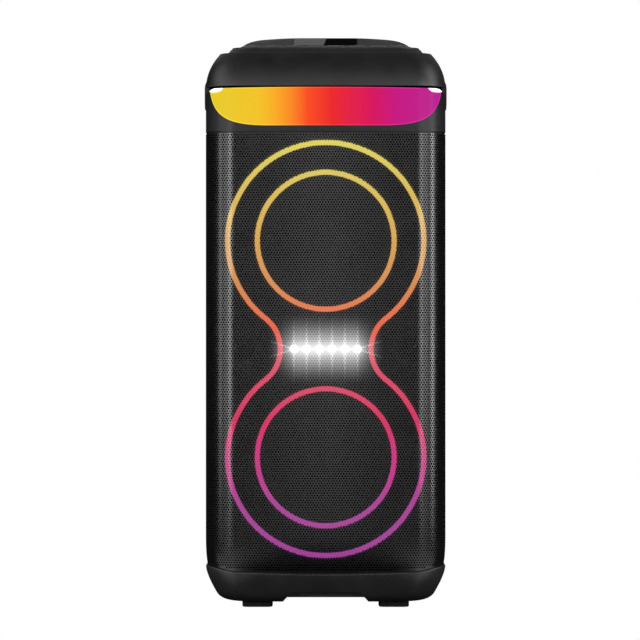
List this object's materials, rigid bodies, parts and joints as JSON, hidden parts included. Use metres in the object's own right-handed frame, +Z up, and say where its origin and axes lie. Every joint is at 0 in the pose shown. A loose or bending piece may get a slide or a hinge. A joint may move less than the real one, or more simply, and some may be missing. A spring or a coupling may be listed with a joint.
{
  "type": "party speaker",
  "caption": "Tower party speaker with a wrap-around perforated grille, figure-eight and ring light guides, strobe lights, a lit top panel, a control console and a rear carrying handle.",
  "frame": {"origin": "middle of the bounding box, on the floor under the feet", "axes": "+Z up; the grille faces -Y; +X is to the right for someone who looks at the grille"},
  "size_m": [0.303, 0.31, 0.7174],
  "materials": {
    "black_shell": "fine satin texture",
    "satin_grey": "smooth satin",
    "grille_steel": "matt powder coat",
    "baffle": "matt",
    "rubber": "matt",
    "cone": "matt pressed fibre",
    "steel": "nickel plated",
    "cast_metal": "black coated casting",
    "ferrite": "pressed ferrite and steel",
    "spider_cloth": "corrugated cloth",
    "circuit_board": "solder mask",
    "aluminium": "plain",
    "figure_eight_guide": "diffusing, lit yellow at the top to purple at the bottom",
    "upper_guide": "diffusing, lit yellow to orange",
    "lower_guide": "diffusing, lit crimson to purple",
    "panel_lens": "diffusing, lit yellow on the left to purple on the right",
    "white_lens": "diffusing, lit white",
    "gloss_black": "high gloss",
    "button": "satin",
    "battery_wrap": "shrink wrap"
  },
  "bodies": {
    "speaker": {"front_grille": "grille_steel", "front_baffle": "baffle", "cabinet_shell": "black_shell", "rear_panel": "black_shell", "rear_input_panel": "black_shell", "mains_inlet": "baffle", "usb_port": "steel", "line_jack": "steel", "microphone_jack": "steel", "guitar_jack": "steel", "bass_port_tube": "baffle", "shoulder_bezel": "satin_grey", "light_panel_lens": "panel_lens", "light_panel_board": "circuit_board", "left_accent_lens": "white_lens", "right_accent_lens": "white_lens", "top_cap": "black_shell", "carry_handle": "black_shell", "console_housing": "black_shell", "display_lens": "gloss_black", "control_board": "circuit_board", "base_shoe": "black_shell", "figure_eight_light_guide": "figure_eight_guide", "upper_ring_light_guide": "upper_guide", "lower_ring_light_guide": "lower_guide", "front_led_board": "circuit_board", "strobe_lens_bar": "white_lens", "amplifier_board": "circuit_board", "heat_sink": "aluminium", "power_supply_board": "circuit_board", "battery_pack": "battery_wrap", "front_left_foot": "rubber", "front_right_foot": "rubber", "rear_left_foot": "rubber", "rear_right_foot": "rubber", "upper_woofer_basket": "cast_metal", "upper_woofer_magnet": "ferrite", "upper_woofer_spider": "spider_cloth", "upper_woofer_surround": "rubber", "lower_woofer_basket": "cast_metal", "lower_woofer_magnet": "ferrite", "lower_woofer_spider": "spider_cloth", "lower_woofer_surround": "rubber", "left_tweeter_motor": "cast_metal", "left_tweeter_dome": "gloss_black", "right_tweeter_motor": "cast_metal", "right_tweeter_dome": "gloss_black"},
    "upper_woofer_diaphragm": {"upper_woofer_cone": "cone", "upper_woofer_dust_cap": "rubber"},
    "lower_woofer_diaphragm": {"lower_woofer_cone": "cone", "lower_woofer_dust_cap": "rubber"},
    "power_button": {"power_button": "button"},
    "source_button": {"source_button": "button"},
    "light_mode_button": {"light_mode_button": "button"},
    "volume_down_button": {"volume_down_button": "button"},
    "volume_up_button": {"volume_up_button": "button"},
    "play_pause_button": {"play_pause_button": "button"},
    "bass_boost_button": {"bass_boost_button": "button"},
    "party_link_button": {"party_link_button": "button"},
    "microphone_knob": {"microphone_knob": "button"}
  },
  "joints": [
    {"name": "upper_woofer_travel", "type": "slide", "parent": "speaker", "child": "upper_woofer_diaphragm", "axis": [0, -1, 0], "range_m": [-0.003, 0.003], "stiffness_N_per_m": 2000, "deforming": ["upper_woofer_surround", "upper_woofer_spider"]},
    {"name": "lower_woofer_travel", "type": "slide", "parent": "speaker", "child": "lower_woofer_diaphragm", "axis": [0, -1, 0], "range_m": [-0.003, 0.003], "stiffness_N_per_m": 2000, "deforming": ["lower_woofer_surround", "lower_woofer_spider"]},
    {"name": "power_button_press", "type": "slide", "parent": "speaker", "child": "power_button", "axis": [0, 0.1032, -0.9947], "range_m": [0, 0.001], "stiffness_N_per_m": 800, "springref_m": -0.0005},
    {"name": "source_button_press", "type": "slide", "parent": "speaker", "child": "source_button", "axis": [0, 0.1032, -0.9947], "range_m": [0, 0.001], "stiffness_N_per_m": 800, "springref_m": -0.0005},
    {"name": "light_mode_button_press", "type": "slide", "parent": "speaker", "child": "light_mode_button", "axis": [0, 0.1032, -0.9947], "range_m": [0, 0.001], "stiffness_N_per_m": 800, "springref_m": -0.0005},
    {"name": "volume_down_button_press", "type": "slide", "parent": "speaker", "child": "volume_down_button", "axis": [0, 0.1032, -0.9947], "range_m": [0, 0.001], "stiffness_N_per_m": 800, "springref_m": -0.0005},
    {"name": "volume_up_button_press", "type": "slide", "parent": "speaker", "child": "volume_up_button", "axis": [0, 0.1032, -0.9947], "range_m": [0, 0.001], "stiffness_N_per_m": 800, "springref_m": -0.0005},
    {"name": "play_pause_button_press", "type": "slide", "parent": "speaker", "child": "play_pause_button", "axis": [0, 0.1032, -0.9947], "range_m": [0, 0.001], "stiffness_N_per_m": 800, "springref_m": -0.0005},
    {"name": "bass_boost_button_press", "type": "slide", "parent": "speaker", "child": "bass_boost_button", "axis": [0, 0.1032, -0.9947], "range_m": [0, 0.001], "stiffness_N_per_m": 800, "springref_m": -0.0005},
    {"name": "party_link_button_press", "type": "slide", "parent": "speaker", "child": "party_link_button", "axis": [0, 0.1032, -0.9947], "range_m": [0, 0.001], "stiffness_N_per_m": 800, "springref_m": -0.0005},
    {"name": "microphone_knob_turn", "type": "hinge", "parent": "speaker", "child": "microphone_knob", "pos_m": [0.022, 0.142, 0.506], "axis": [0, 1, 0], "range_deg": [-140, 140]}
  ]
}
